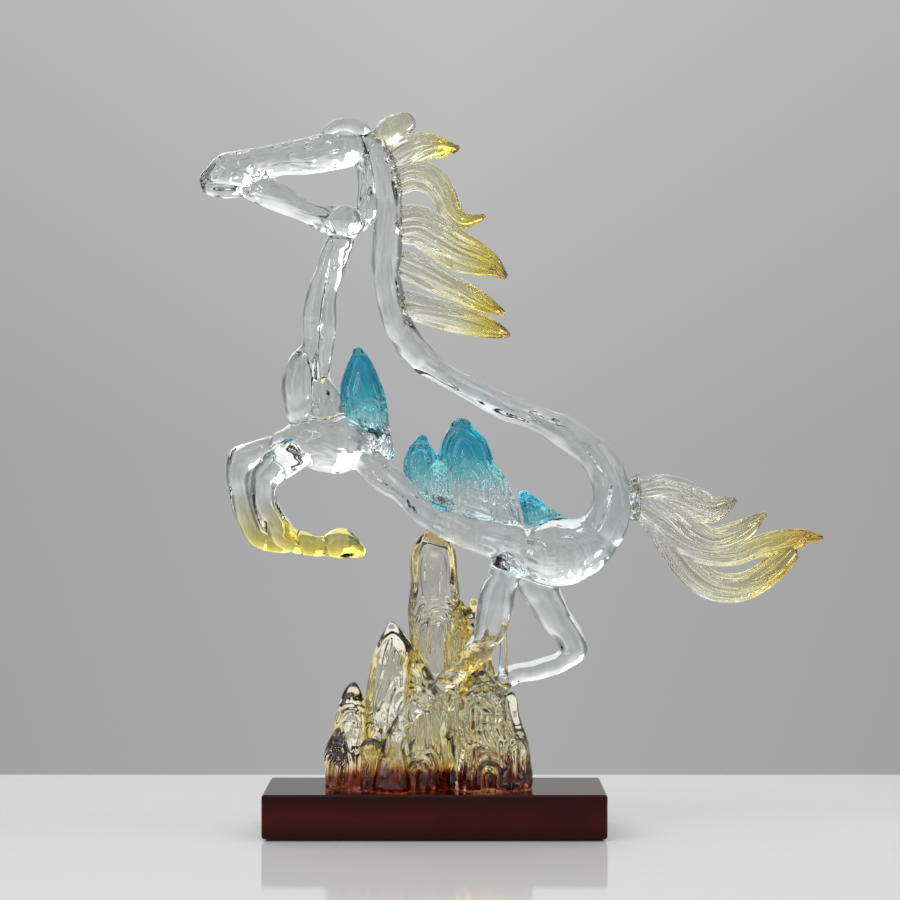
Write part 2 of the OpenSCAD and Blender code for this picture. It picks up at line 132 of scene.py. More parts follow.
def blob(centre, size):
    """An egg around a point; size is its half sizes along X, Y and Z in millimetres."""
    rings, sides = 8, 12
    points = []
    for i in range(rings + 1):
        lift = math.pi * i / rings
        for k in range(sides):
            turn = 2 * math.pi * k / sides
            way = (math.sin(lift) * math.cos(turn), math.sin(lift) * math.sin(turn), -math.cos(lift))
            points.append(centre + MM * np.array(size) * way)
    faces = [tuple(range(sides))[::-1], tuple(range(rings * sides, (rings + 1) * sides))]
    for i in range(rings):
        for k in range(sides):
            a, b = i * sides + k, i * sides + (k + 1) % sides
            faces.append((a, b, b + sides, a + sides))
    return np.array(points), faces


def fused(name, parts, voxel):
    """One closed skin over all the parts, in even quads of about the voxel's size."""
    rough = make_object(name + "_rough", *merge(parts))
    remesh = rough.modifiers.new("skin", "REMESH")
    remesh.mode = "VOXEL"
    remesh.voxel_size = voxel
    skin = rough.evaluated_get(bpy.context.evaluated_depsgraph_get())
    mesh = bpy.data.meshes.new_from_object(skin)
    mesh.name = name
    obj = bpy.data.objects.new(name, mesh)
    bpy.context.scene.collection.objects.link(obj)
    bpy.data.objects.remove(rough)
    return obj


def relaxed(obj, passes, keep_size=True):
    """Smooths the skin, and puts back the thickness that smoothing takes."""
    edges = np.empty(len(obj.data.edges) * 2, dtype=np.int64)
    obj.data.edges.foreach_get("vertices", edges)
    a, b = edges.reshape(-1, 2).T
    points = coords(obj)
    count = len(points)
    degree = np.bincount(np.concatenate([a, b]), minlength=count)[:, None]
    start = points.copy()
    for _ in range(passes):
        total = np.stack([
            np.bincount(a, points[b, k], count) + np.bincount(b, points[a, k], count) for k in range(3)
        ], axis=1)
        points = points + 0.6 * (total / degree - points)
    set_coords(obj, points)
    if keep_size:
        lost = ((start - points) * normals(obj)).sum(1).mean()
        set_coords(obj, points + lost * normals(obj))
    return obj


def waves(points, length, seed):
    """Smooth random swell from -1 to 1 over the points, with bumps of about the given length."""
    rng = np.random.default_rng(seed)
    total = np.zeros(len(points))
    for _ in range(7):
        way = rng.normal(size=3)
        way /= np.linalg.norm(way)
        total += np.sin(points @ way * (2 * math.pi / length) * rng.uniform(0.7, 1.3) + rng.uniform(0, 6.3))
    return total / 3.2


def push(obj, amount):
    """Moves each vertex along its normal."""
    set_coords(obj, coords(obj) + np.asarray(amount)[:, None] * normals(obj))


def swell(obj, length, height, seed):
    """Gives the skin the soft waves of hand-worked glass."""
    push(obj, height * waves(coords(obj), length, seed))


def note(obj, name, values):
    """Keeps a number from 0 to 1 on every vertex for the material; a higher number wins."""
    values = np.clip(values, 0, 1)
    layer = obj.data.attributes.get(name)
    if layer is None:
        layer = obj.data.attributes.new(name, "FLOAT", "POINT")
    else:
        held = np.empty(len(values))
        layer.data.foreach_get("value", held)
        values = np.maximum(held, values)
    layer.data.foreach_set("value", values)


def side_distance(points, path):
    """Distance in the XZ plane from each point to a path of points."""
    flat = points[:, [0, 2]]
    best = np.full(len(points), 1e9)
    for p, q in zip(path[:-1], path[1:]):
        p, q = np.array(p)[[0, 2]], np.array(q)[[0, 2]]
        along = q - p
        t = np.clip((flat - p) @ along / max(along @ along, 1e-12), 0, 1)
        best = np.minimum(best, np.linalg.norm(flat - p - t[:, None] * along, axis=1))
    return best


def crease(obj, path, width, height):
    """A ridge (height above 0) or a groove (below 0) along a path, on both flanks of the piece."""
    far = side_distance(coords(obj), path)
    facing = np.abs(normals(obj)[:, 1]) ** 0.5
    push(obj, height * np.exp(-(far / width) ** 2) * facing)


def dimple(obj, centre, radius, height):
    """A round bump or dent on both flanks, around a point."""
    crease(obj, [centre, centre], radius, height)


def outline_ridges(obj, spacing, height, sharp=1.5, wander=0.3, seed=5):
    """Nested lines that follow the piece's outline, at even distances in from its rim."""
    points, facing = coords(obj), normals(obj)
    floor_level = points[:, 2].min() + 3 * MM
    rim = points[(np.abs(facing[:, 1]) < 0.25) & (points[:, 2] > floor_level)]
    tree = KDTree(len(rim))
    for index, (x, _, z) in enumerate(rim):
        tree.insert((x, 0, z), index)
    tree.balance()
    inward = np.array([tree.find((x, 0, z))[2] for x, _, z in points])
    note(obj, "rim", 1 - inward / (4.5 * MM))
    inward += wander * spacing * waves(points, 16 * MM, seed)
    ridge = (0.5 + 0.5 * np.cos(2 * math.pi * inward / spacing)) ** sharp
    note(obj, "line", 0.8 * ridge ** 5 * np.abs(facing[:, 1]))
    push(obj, height * (ridge - 0.35) * np.abs(facing[:, 1]))


def arches(obj, centre, width, height_up, rise, rings=3, seed=0):
    """Nested arches around a point, with legs that run down from them and fade."""
    points = coords(obj)
    bend = 0.09 * waves(points, 16 * MM, seed)
    across = (points[:, 0] - centre[0]) / width + bend
    up = (points[:, 2] - centre[2]) / height_up
    reach = np.hypot(across, np.maximum(up, 0))
    inside = np.clip((1.08 - reach) / 0.12, 0, 1) * np.clip((up + 1.5) / 1.0, 0, 1)
    ridge = (0.5 + 0.5 * np.cos(2 * math.pi * (reach * rings - rings))) ** 1.6
    dome = 0.6 * np.sqrt(np.clip(1 - reach ** 2, 0, 1))
    note(obj, "line", ridge ** 5 * inside)
    push(obj, rise * (ridge - 0.3 + dome) * inside * np.abs(normals(obj)[:, 1]))


def swirls(obj, node, places, size, rise, rings=3):
    """Arches at places (u, v, factor on the size) in a node's box."""
    for seed, (u, v, scale) in enumerate(places):
        arches(obj, spot(node, u, v), size * scale, size * scale * 1.25, rise, rings, seed)


def shaded(obj):
    """Smooth shading all over."""
    obj.data.polygons.foreach_set("use_smooth", [True] * len(obj.data.polygons))
    return obj


def solids(nodes, amount=0.25 * MM):
    """The CAD solids of these nodes, grown a little so that neighbours run into each other."""
    parts = []
    for node in nodes:
        points, triangles = welded(node)
        parts.append((grown(points, triangles, amount), triangles))
    return parts


def hand_over(obj, nodes, material):
    """Finishes a piece: its shading, its material, and the CAD nodes that it stands for."""
    shaded(obj)
    obj.data.materials.clear()
    obj.data.materials.append(material)
    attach(obj, BODY)
    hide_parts(*nodes)
    return obj


# --- Strand locks ---

STRANDS = 15
STEPS_PER_ROW = 12
TWIST = 0.9

def curve_rows(rows, steps):
    """Rows of numbers with more rows between them, on a Catmull-Rom curve."""
    rows = np.array(rows, dtype=float)
    ends = np.vstack([rows[:1], rows, rows[-1:]])
    out = []
    for a, b, c, d in zip(ends[:-3], ends[1:-2], ends[2:-1], ends[3:]):
        for t in np.arange(steps) / steps:
            out.append(0.5 * (2 * b + (c - a) * t + (2 * a - 5 * b + 4 * c - d) * t ** 2
                              + (3 * b - a - 3 * c + d) * t ** 3))
    return np.array(out + [rows[-1]])


def tube(centres, widths, painted_groove_shade, sides=10):
    """A closed tube of elliptical rings along the centres."""
    ahead = np.gradient(centres, axis=0)
    ahead /= np.linalg.norm(ahead, axis=1, keepdims=True)
    across = DEEP - ahead * (ahead @ DEEP)[:, None]
    across /= np.linalg.norm(across, axis=1, keepdims=True)
    side = np.cross(across, ahead)
    turn = 2 * math.pi * np.arange(sides) / sides
    rings = (centres[:, None] + widths[:, None, None] * np.cos(turn)[None, :, None] * side[:, None]
             + painted_groove_shade[:, None, None] * np.sin(turn)[None, :, None] * across[:, None])
    n = len(centres)
    points = np.vstack([rings.reshape(-1, 3), centres[:1] - ahead[:1] * widths[0] * 0.6,
                        centres[-1:] + ahead[-1:] * widths[-1]])
    faces = []
    for i in range(n - 1):
        for k in range(sides):
            a, b = i * sides + k, i * sides + (k + 1) % sides
            faces.append((a, b, b + sides, a + sides))
    for k in range(sides):
        faces.append((n * sides, (k + 1) % sides, k))
        faces.append((n * sides + 1, (n - 1) * sides + k, (n - 1) * sides + (k + 1) % sides))
    return points, faces


def lock_frame(node, rows, steps):
    """The lock's line with its side and depth directions and its half width and depth, in metres."""
    low, high = node_box(node)
    size = high - low
    fine = curve_rows(rows, steps)
    line = low + np.stack([fine[:, 0], fine[:, 4], fine[:, 1]], axis=1) * size
    width = np.maximum(fine[:, 2] * size[2], 0.5 * MM)
    depth = np.maximum(fine[:, 3] * size[1], 0.5 * MM)
    ahead = np.gradient(line, axis=0)
    ahead /= np.linalg.norm(ahead, axis=1, keepdims=True)
    across = DEEP - ahead * (ahead @ DEEP)[:, None]
    across /= np.linalg.norm(across, axis=1, keepdims=True)
    return line, np.cross(across, ahead), across, width, depth


def lock_parts(node, rows, twist, seed):
    """A core and the strands that wind round it, as closed tubes, with the strands' paths and radii."""
    rng = np.random.default_rng(seed)
    line, side, across, width, depth = lock_frame(node, rows, STEPS_PER_ROW)
    share = np.linspace(0, 1, len(line))
    parts = [tube(line, width * 0.72, depth * 0.72, 16)]
    paths = []
    for j in range(STRANDS):
        end = int(len(line) * (1.0 if j % 3 == 0 else rng.uniform(0.78, 0.98)))
        wobble = 0.16 * np.sin(share * rng.uniform(4, 7) + rng.uniform(0, 6.3))
        angle = 2 * math.pi * (j + rng.uniform(-0.12, 0.12)) / STRANDS + twist * share + wobble
        reach = 0.86 + 0.06 * share
        centre = (line + (width * reach * np.cos(angle))[:, None] * side
                  + (depth * reach * np.sin(angle))[:, None] * across)
        thick = (2.75 / STRANDS) * (width + depth) / 2 * rng.uniform(0.9, 1.15)
        cut = slice(0, end)
        taper = np.sqrt(np.clip((share[cut][-1] - share[cut]) / 0.16, 0, 1)) * 0.85 + 0.15
        radius = np.maximum(thick[cut] * taper, 0.32 * MM)
        parts.append(tube(centre[cut], radius, radius, 8))
        paths.append(np.column_stack([centre[cut], radius]))
    return parts, np.vstack(paths)


def note_grooves(obj, paths):
    """Keeps 1 in the grooves between strands and 0 on their crests, for the painted shade in the grooves."""
    tree = KDTree(len(paths))
    for index, (x, y, z, _) in enumerate(paths):
        tree.insert((x, y, z), index)
    tree.balance()
    found = [tree.find(point) for point in coords(obj)]
    share = np.array([gap for _, _, gap in found]) / paths[[index for _, index, _ in found], 3]
    note(obj, "groove", (share - 0.95) / 0.35)


# Rows of (along X, up, half width, half depth, place in depth) as shares of the lock's own box.
MANE_ROWS = {
    "mane_lock_1": [
        (0.01, 0.26, 0.34, 0.42, 0.5), (0.3, 0.54, 0.42, 0.5, 0.5), (0.53, 0.64, 0.36, 0.48, 0.5),
        (0.71, 0.61, 0.29, 0.39, 0.5), (0.88, 0.59, 0.15, 0.22, 0.5), (0.97, 0.62, 0.05, 0.08, 0.5)],
    "mane_lock_2": [
        (0.0, 0.66, 0.2, 0.37, 0.4), (0.21, 0.79, 0.22, 0.46, 0.46), (0.42, 0.7, 0.2, 0.46, 0.54),
        (0.54, 0.48, 0.17, 0.41, 0.54), (0.61, 0.27, 0.16, 0.37, 0.54), (0.73, 0.13, 0.12, 0.29, 0.46),
        (0.87, 0.15, 0.07, 0.18, 0.4), (0.97, 0.19, 0.03, 0.07, 0.4)],
    "mane_lock_3": [
        (0.02, 0.74, 0.25, 0.38, 0.6), (0.19, 0.71, 0.27, 0.44, 0.55), (0.36, 0.55, 0.26, 0.47, 0.47),
        (0.54, 0.38, 0.26, 0.44, 0.47), (0.71, 0.28, 0.21, 0.35, 0.55), (0.86, 0.17, 0.13, 0.24, 0.6),
        (0.97, 0.04, 0.04, 0.07, 0.6)],
    "mane_lock_4": [
        (0.02, 0.77, 0.22, 0.41, 0.42), (0.2, 0.66, 0.22, 0.45, 0.49), (0.38, 0.51, 0.19, 0.43, 0.56),
        (0.57, 0.37, 0.17, 0.38, 0.56), (0.75, 0.22, 0.14, 0.3, 0.49), (0.89, 0.1, 0.08, 0.2, 0.42),
        (0.97, 0.04, 0.03, 0.07, 0.42)],
    "mane_lock_5": [
        (0.02, 0.72, 0.26, 0.39, 0.6), (0.17, 0.62, 0.28, 0.44, 0.54), (0.35, 0.49, 0.28, 0.46, 0.46),
        (0.54, 0.37, 0.27, 0.42, 0.46), (0.71, 0.26, 0.23, 0.36, 0.54), (0.87, 0.15, 0.15, 0.23, 0.6),
        (0.97, 0.07, 0.05, 0.08, 0.6)],
}
TAIL_ROWS = [
    [(0.02, 0.87, 0.09, 0.4, 0.5), (0.13, 0.88, 0.12, 0.43, 0.54), (0.23, 0.84, 0.13, 0.4, 0.6),
     (0.32, 0.77, 0.12, 0.34, 0.64), (0.4, 0.73, 0.1, 0.28, 0.64), (0.48, 0.77, 0.06, 0.19, 0.6),
     (0.53, 0.81, 0.02, 0.06, 0.55)],
    [(0.02, 0.77, 0.1, 0.4, 0.5), (0.15, 0.66, 0.13, 0.41, 0.43), (0.28, 0.53, 0.13, 0.37, 0.37),
     (0.4, 0.48, 0.11, 0.33, 0.37), (0.52, 0.54, 0.09, 0.27, 0.43), (0.61, 0.62, 0.06, 0.18, 0.5),
     (0.68, 0.7, 0.02, 0.06, 0.5)],
    [(0.11, 0.62, 0.09, 0.34, 0.5), (0.26, 0.45, 0.09, 0.34, 0.5), (0.39, 0.38, 0.08, 0.31, 0.5),
     (0.52, 0.38, 0.08, 0.29, 0.5), (0.64, 0.44, 0.08, 0.28, 0.5), (0.75, 0.48, 0.09, 0.26, 0.5),
     (0.86, 0.51, 0.07, 0.22, 0.5), (0.93, 0.51, 0.04, 0.14, 0.5), (0.98, 0.51, 0.02, 0.05, 0.5)],
    [(0.05, 0.7, 0.07, 0.28, 0.5), (0.13, 0.56, 0.09, 0.34, 0.54), (0.2, 0.41, 0.1, 0.34, 0.6),
     (0.29, 0.25, 0.11, 0.34, 0.6), (0.4, 0.14, 0.11, 0.33, 0.6), (0.53, 0.12, 0.11, 0.31, 0.54),
     (0.65, 0.19, 0.1, 0.28, 0.54), (0.75, 0.31, 0.1, 0.26, 0.5), (0.82, 0.42, 0.08, 0.23, 0.5)],
]


# --- Materials ---

class Shader:
    """A node material that is built up step by step."""

    def __init__(self, name):
        self.material = bpy.data.materials.new(name)
        self.material.use_nodes = True
        self.tree = self.material.node_tree
        self.principled = self.tree.nodes["Principled BSDF"]
        self.place = self.add("ShaderNodeTexCoord").outputs["Object"]

    def add(self, kind):
        return self.tree.nodes.new(kind)

    def link(self, output, socket):
        self.tree.links.new(output, socket)

    def set(self, **values):
        for name, value in values.items():
            self.principled.inputs[name.replace("_", " ")].default_value = value

    def noise(self, scale, detail=3.0, stretch=None):
        texture = self.add("ShaderNodeTexNoise")
        texture.inputs["Scale"].default_value = scale
        texture.inputs["Detail"].default_value = detail
        source = self.place
        if stretch is not None:
            mapping = self.add("ShaderNodeMapping")
            mapping.inputs["Scale"].default_value = stretch
            self.link(self.place, mapping.inputs["Vector"])
            source = mapping.outputs["Vector"]
        self.link(source, texture.inputs["Vector"])
        return texture.outputs["Fac"]

    def span(self, value, low, high, to_low=0.0, to_high=1.0):
        """value taken from low..high to the new span, smoothly."""
        node = self.add("ShaderNodeMapRange")
        node.interpolation_type = "SMOOTHSTEP"
        for name, number in (("From Min", low), ("From Max", high), ("To Min", to_low), ("To Max", to_high)):
            node.inputs[name].default_value = number
        self.link(value, node.inputs["Value"])
        return node.outputs["Result"]

    def times(self, first, second):
        """The product of two outputs."""
        node = self.add("ShaderNodeMath")
        node.operation = "MULTIPLY"
        self.link(first, node.inputs[0])
        self.link(second, node.inputs[1])
        return node.outputs[0]

    def scaled(self, value, factor, added):
        """An output times a factor, plus another output."""
        node = self.add("ShaderNodeMath")
        node.operation = "MULTIPLY_ADD"
        self.link(value, node.inputs[0])
        node.inputs[1].default_value = factor
        self.link(added, node.inputs[2])
        return node.outputs[0]

    def along(self, axis, low, high, wander=0.0, scale=120.0):
        """0 to 1 along an axis, with an edge that wanders by the given distance."""
        split = self.add("ShaderNodeSeparateXYZ")
        self.link(self.place, split.inputs["Vector"])
        value = split.outputs[axis]
        if wander:
            value = self.scaled(self.noise(scale, 2.0), wander, value)
        node = self.add("ShaderNodeMapRange")
        node.inputs["From Min"].default_value = low + wander / 2
        node.inputs["From Max"].default_value = high + wander / 2
        self.link(value, node.inputs["Value"])
        return node.outputs["Result"]

    def near(self, centre, radius):
        """1 at a point, falling to 0 at the radius."""
        gap = self.add("ShaderNodeVectorMath")
        gap.operation = "DISTANCE"
        self.link(self.place, gap.inputs[0])
        gap.inputs[1].default_value = tuple(centre)
        return self.span(gap.outputs["Value"], 0.0, radius, 1.0, 0.0)

    def noted(self, name):
        """The number that note() kept on the vertices."""
        node = self.add("ShaderNodeAttribute")
        node.attribute_name = name
        return node.outputs["Fac"]

    def ramp(self, value, stops):
        """A colour ramp with stops of (place, (r, g, b))."""
        node = self.add("ShaderNodeValToRGB")
        elements = node.color_ramp.elements
        while len(elements) < len(stops):
            elements.new(0.5)
        for element, (place, colour) in zip(elements, stops):
            element.position = place
            element.color = (*colour, 1.0)
        self.link(value, node.inputs["Fac"])
        return node.outputs["Color"]

    def mix(self, factor, first, second):
        """first where the factor is 0 and second where it is 1; each is a colour or an output."""
        node = self.add("ShaderNodeMix")
        node.data_type = "RGBA"
        self.link(factor, node.inputs["Factor"])
        for socket, value in ((node.inputs[6], first), (node.inputs[7], second)):
            if isinstance(value, tuple):
                socket.default_value = (*value, 1.0)
            else:
                self.link(value, socket)
        return node.outputs[2]

    def bump(self, value, strength, distance):
        node = self.add("ShaderNodeBump")
        node.inputs["Strength"].default_value = strength
        node.inputs["Distance"].default_value = distance
        self.link(value, node.inputs["Height"])
        self.link(node.outputs["Normal"], self.principled.inputs["Normal"])

    def glass(self, colour, roughness=(0.0, 0.03), wave=0.12, lines=0.0):
        """Polished cast glass: its colour, a haze that comes and goes and is stronger on the noted lines,
        and the fine bumps of a worked surface."""
        self.set(IOR=1.5, Transmission_Weight=1.0)
        self.link(colour, self.principled.inputs["Base Color"])
        haze = self.span(self.noise(160.0), 0.45, 0.75, *roughness)
        if lines:
            haze = self.scaled(self.noted("line"), lines, haze)
        self.link(haze, self.principled.inputs["Roughness"])
        self.bump(self.noise(210.0, 2.0), wave, 0.4 * MM)
        return self.material


CLEAR = (0.965, 0.985, 0.985)
ICE = (0.74, 0.93, 0.96)
TEAL = (0.0, 0.52, 0.82)
TEAL_PALE = (0.1, 0.84, 0.95)
YELLOW_PALE = (0.97, 0.94, 0.62)
YELLOW = (0.98, 0.84, 0.12)
ORANGE = (0.97, 0.52, 0.03)
AMBER = (0.88, 0.6, 0.16)
STRAW = (0.97, 0.96, 0.86)
BROWN = (0.4, 0.1, 0.05)
OXBLOOD = (0.2, 0.02, 0.015)


def horse_glass():
    """Clear glass that turns yellow in the fore hooves and amber to brown at the standing hoof."""
    s = Shader("clear_glass")
    fore_low, fore_high = node_box("hoof_fore_near")
    veils = s.span(s.noise(55.0, 2.0), 0.5, 0.62)
    tint = s.mix(veils, CLEAR, ICE)
    body = s.mix(s.near(spot("belly_peaks", 0.5, 0.0), 46 * MM), CLEAR, tint)
    body = s.mix(s.near(spot("haunch", 0.85, 0.7), 30 * MM), body, ICE)
    body = s.mix(s.near(spot("chest_peak", 0.6, 0.1), 24 * MM), body, tint)
    body = s.mix(s.near(spot("back", 0.36, 0.65), 20 * MM), body, tint)
    hoof = s.along("Z", fore_high[2] + 8 * MM, fore_low[2] + 4 * MM, 4 * MM)
    fore = s.along("X", fore_high[0] + 4 * MM, fore_high[0] + 2 * MM)
    body = s.mix(s.times(hoof, fore), body, YELLOW)
    leg = s.along("Z", PLINTH_TOP + 22 * MM, PLINTH_TOP + 3 * MM, 5 * MM)
    low_leg = s.ramp(leg, [(0.0, CLEAR), (0.35, STRAW), (0.7, AMBER), (1.0, BROWN)])
    low = s.along("Z", PLINTH_TOP + 30 * MM, PLINTH_TOP + 22 * MM)
    return s.glass(s.mix(low, body, low_leg), (0.0, 0.03), 0.1, 0.08)


def hair_glass(name, node, stops):
    """Clear at the root and coloured at the tip of a lock, along its box, with painted shade that darkens the
    grooves between strands.
    """
    s = Shader(name)
    low, high = node_box(node)
    colour = s.ramp(s.along("X", low[0], high[0], 5 * MM), stops)
    # painted shade: the grooves between strands are mixed toward dark olive, up to three quarters of the way
    painted_groove_shade = s.span(s.noted("groove"), 0.0, 1.0, 0.0, 0.75)
    return s.glass(s.mix(painted_groove_shade, colour, (0.42, 0.38, 0.22)), (0.0, 0.04), 0.08)


def peak_glass(name, node, clear_until, full_from):
    """Clear at the foot and teal at the top of a peak, with painted highlights: its ridge lines are paler,
    most of all low on the peak.
    """
    s = Shader(name)
    low, high = node_box(node)
    value = s.along("Z", low[2], high[2], 3 * MM)
    stops = [(clear_until, (0.88, 0.97, 0.98)), ((clear_until + full_from) / 2, TEAL_PALE), (full_from, TEAL)]
    # painted highlight: the noted ridge lines are mixed toward near-white, fully low on the peak and a
    # quarter as much at the teal top
    lines = s.times(s.noted("line"), s.span(value, clear_until, full_from, 1.0, 0.25))
    peak_colour_painted_highlights = s.mix(lines, s.ramp(value, stops), (0.85, 1.0, 1.0))
    return s.glass(peak_colour_painted_highlights, (0.0, 0.03), 0.1, 0.25)


def rock_glass(name, reach):
    """Dark red-brown at the plinth, amber above it and pale at the top; reach is the colour's height."""
    s = Shader(name)
    value = s.along("Z", PLINTH_TOP, PLINTH_TOP + reach, 9 * MM, 70.0)
    stops = [(0.0, OXBLOOD), (0.075, BROWN), (0.105, (0.93, 0.72, 0.34)), (0.15, (0.96, 0.93, 0.76)),
             (1.0, STRAW)]
    colour = s.ramp(value, stops)
    streaks = s.span(s.noise(42.0, 2.0, (1.4, 1.4, 0.6)), 0.58, 0.66)
    edges = s.times(s.noted("rim"), s.span(s.noise(30.0, 1.0), 0.42, 0.56))
    low = s.along("Z", PLINTH_TOP + 10 * MM, PLINTH_TOP + 5 * MM)
    colour = s.mix(streaks, colour, s.mix(low, (0.98, 0.84, 0.3), BROWN))
    colour = s.mix(edges, colour, s.mix(low, (0.99, 0.74, 0.08), BROWN))
    return s.glass(colour, (0.0, 0.03), 0.08, 0.22)


def plinth_gloss():
    """Polished dark red-brown, with a painted glow: redder at half its height and darker towards its top and
    bottom.
    """
    s = Shader("plinth_gloss")
    # painted glow: light inside the resin is painted as a redder band at mid-height, darker towards the top
    # and bottom
    height = s.along("Z", PLINTH_LOW[2], PLINTH_HIGH[2], 3 * MM, 60.0)
    stops = [(0.0, (0.018, 0.003, 0.003)), (0.45, (0.055, 0.006, 0.005)), (1.0, (0.014, 0.003, 0.003))]
    colour = s.ramp(height, stops)
    cloud = s.span(s.noise(24.0, 4.0), 0.45, 0.75)
    s.link(s.mix(cloud, colour, (0.03, 0.004, 0.003)), s.principled.inputs["Base Color"])
    s.set(IOR=1.5, Specular_IOR_Level=0.1)
    s.link(s.span(s.noise(300.0), 0.4, 0.8, 0.05, 0.11), s.principled.inputs["Roughness"])
    s.bump(s.noise(35.0, 1.0), 0.05, 0.3 * MM)
    return s.material


def felt():
    """Short dark felt."""
    s = Shader("felt")
    colour = s.ramp(s.noise(2500.0, 6.0), [(0.3, (0.012, 0.012, 0.014)), (0.7, (0.05, 0.05, 0.055))])
    s.link(colour, s.principled.inputs["Base Color"])
    s.set(Roughness=0.95, Sheen_Weight=0.4)
    s.bump(s.noise(4000.0, 4.0), 0.6, 0.2 * MM)
    return s.material


def frosted_ear():
    """Clear glass with a satin surface."""
    s = Shader("frosted_glass")
    return s.glass(s.mix(s.noise(60.0), (0.95, 0.95, 0.76), (0.99, 0.99, 0.93)), (0.15, 0.45), 0.7)


# --- Pieces ---

BODY_NODES = ["neck", "back", "haunch", "belly", "shoulder", "breast", "throat", "foreleg_far",
              "hoof_fore_far", "foreleg_near", "hoof_fore_near", "hind_leg_standing", "hoof_standing",
              "hind_leg_bent"]
HEAD_NODES = ["head", "lower_jaw"]


def rest_on_plinth(obj):
    """Flattens what would sink into the plinth."""
    points = coords(obj)
    points[:, 2] = np.where(points[:, 2] < PLINTH_TOP + 0.6 * MM, PLINTH_TOP, points[:, 2])
    set_coords(obj, points)


def groove(obj, node, places, width, height):
    """A crease through shares (u, v) of a node's box; its width and height are in millimetres."""
    crease(obj, [spot(node, u, v) for u, v in places], width * MM, height * MM)


def horse_body(material):
    """The horse without its head: one skin over its clear castings, with creases, ridges and hooves."""
    foot = blob(spot("hind_leg_bent", 0.07, 0.07), (5.2, 5.6, 4.4))
    obj = fused("horse_body", solids(BODY_NODES) + [foot], 0.8 * MM)
    relaxed(obj, 12)
    swell(obj, 26 * MM, 0.6 * MM, 11)
    swell(obj, 12 * MM, 0.28 * MM, 12)
    outline_ridges(obj, 4.6 * MM, 0.42 * MM, 1.3, 0.22)
    groove(obj, "throat", [(0.56, 0.95), (0.51, 0.84), (0.43, 0.67), (0.35, 0.51), (0.31, 0.35), (0.3, 0.0)],
           1.3, -1.5)
    groove(obj, "shoulder", [(0.2, 0.75), (0.45, 0.3), (0.8, 0.2)], 2.2, -0.4)
    groove(obj, "belly", [(0.1, 0.88), (0.35, 0.55), (0.7, 0.24), (0.98, 0.14)], 1.2, -0.9)
    groove(obj, "back", [(0.12, 0.84), (0.31, 0.7), (0.56, 0.58), (0.78, 0.45), (0.9, 0.28), (0.86, 0.12)],
           1.5, -1.1)
    groove(obj, "neck", [(0.44, 0.86), (0.58, 0.64), (0.53, 0.41), (0.59, 0.21), (0.75, 0.06)], 1.3, -0.8)
    # fore hooves: the seam at the pastern, the sole's arch and the toe
    groove(obj, "hoof_fore_near", [(0.62, 1.0), (0.56, 0.0)], 1.5, -1.3)
    groove(obj, "hoof_fore_near", [(0.3, 0.9), (0.36, 0.1)], 1.6, -0.9)
    dimple(obj, spot("hoof_fore_near", 0.74, 0.35), 2.6 * MM, 0.9 * MM)
    dimple(obj, spot("hoof_fore_near", 0.45, 0.3), 2.4 * MM, 0.8 * MM)
    groove(obj, "hoof_fore_far", [(0.5, 0.9), (0.45, 0.1)], 1.5, -1.0)
    arches(obj, spot("haunch", 0.55, 0.45), 9 * MM, 9 * MM, 0.5 * MM, 2, 4)
    swirls(obj, "belly", [(0.36, 0.52, 1.0), (0.52, 0.36, 1.1), (0.68, 0.26, 1.0), (0.2, 0.72, 0.9)],
           5 * MM, 0.6 * MM, 2)
    relaxed(obj, 2)
    rest_on_plinth(obj)
    hand_over(obj, BODY_NODES, material)


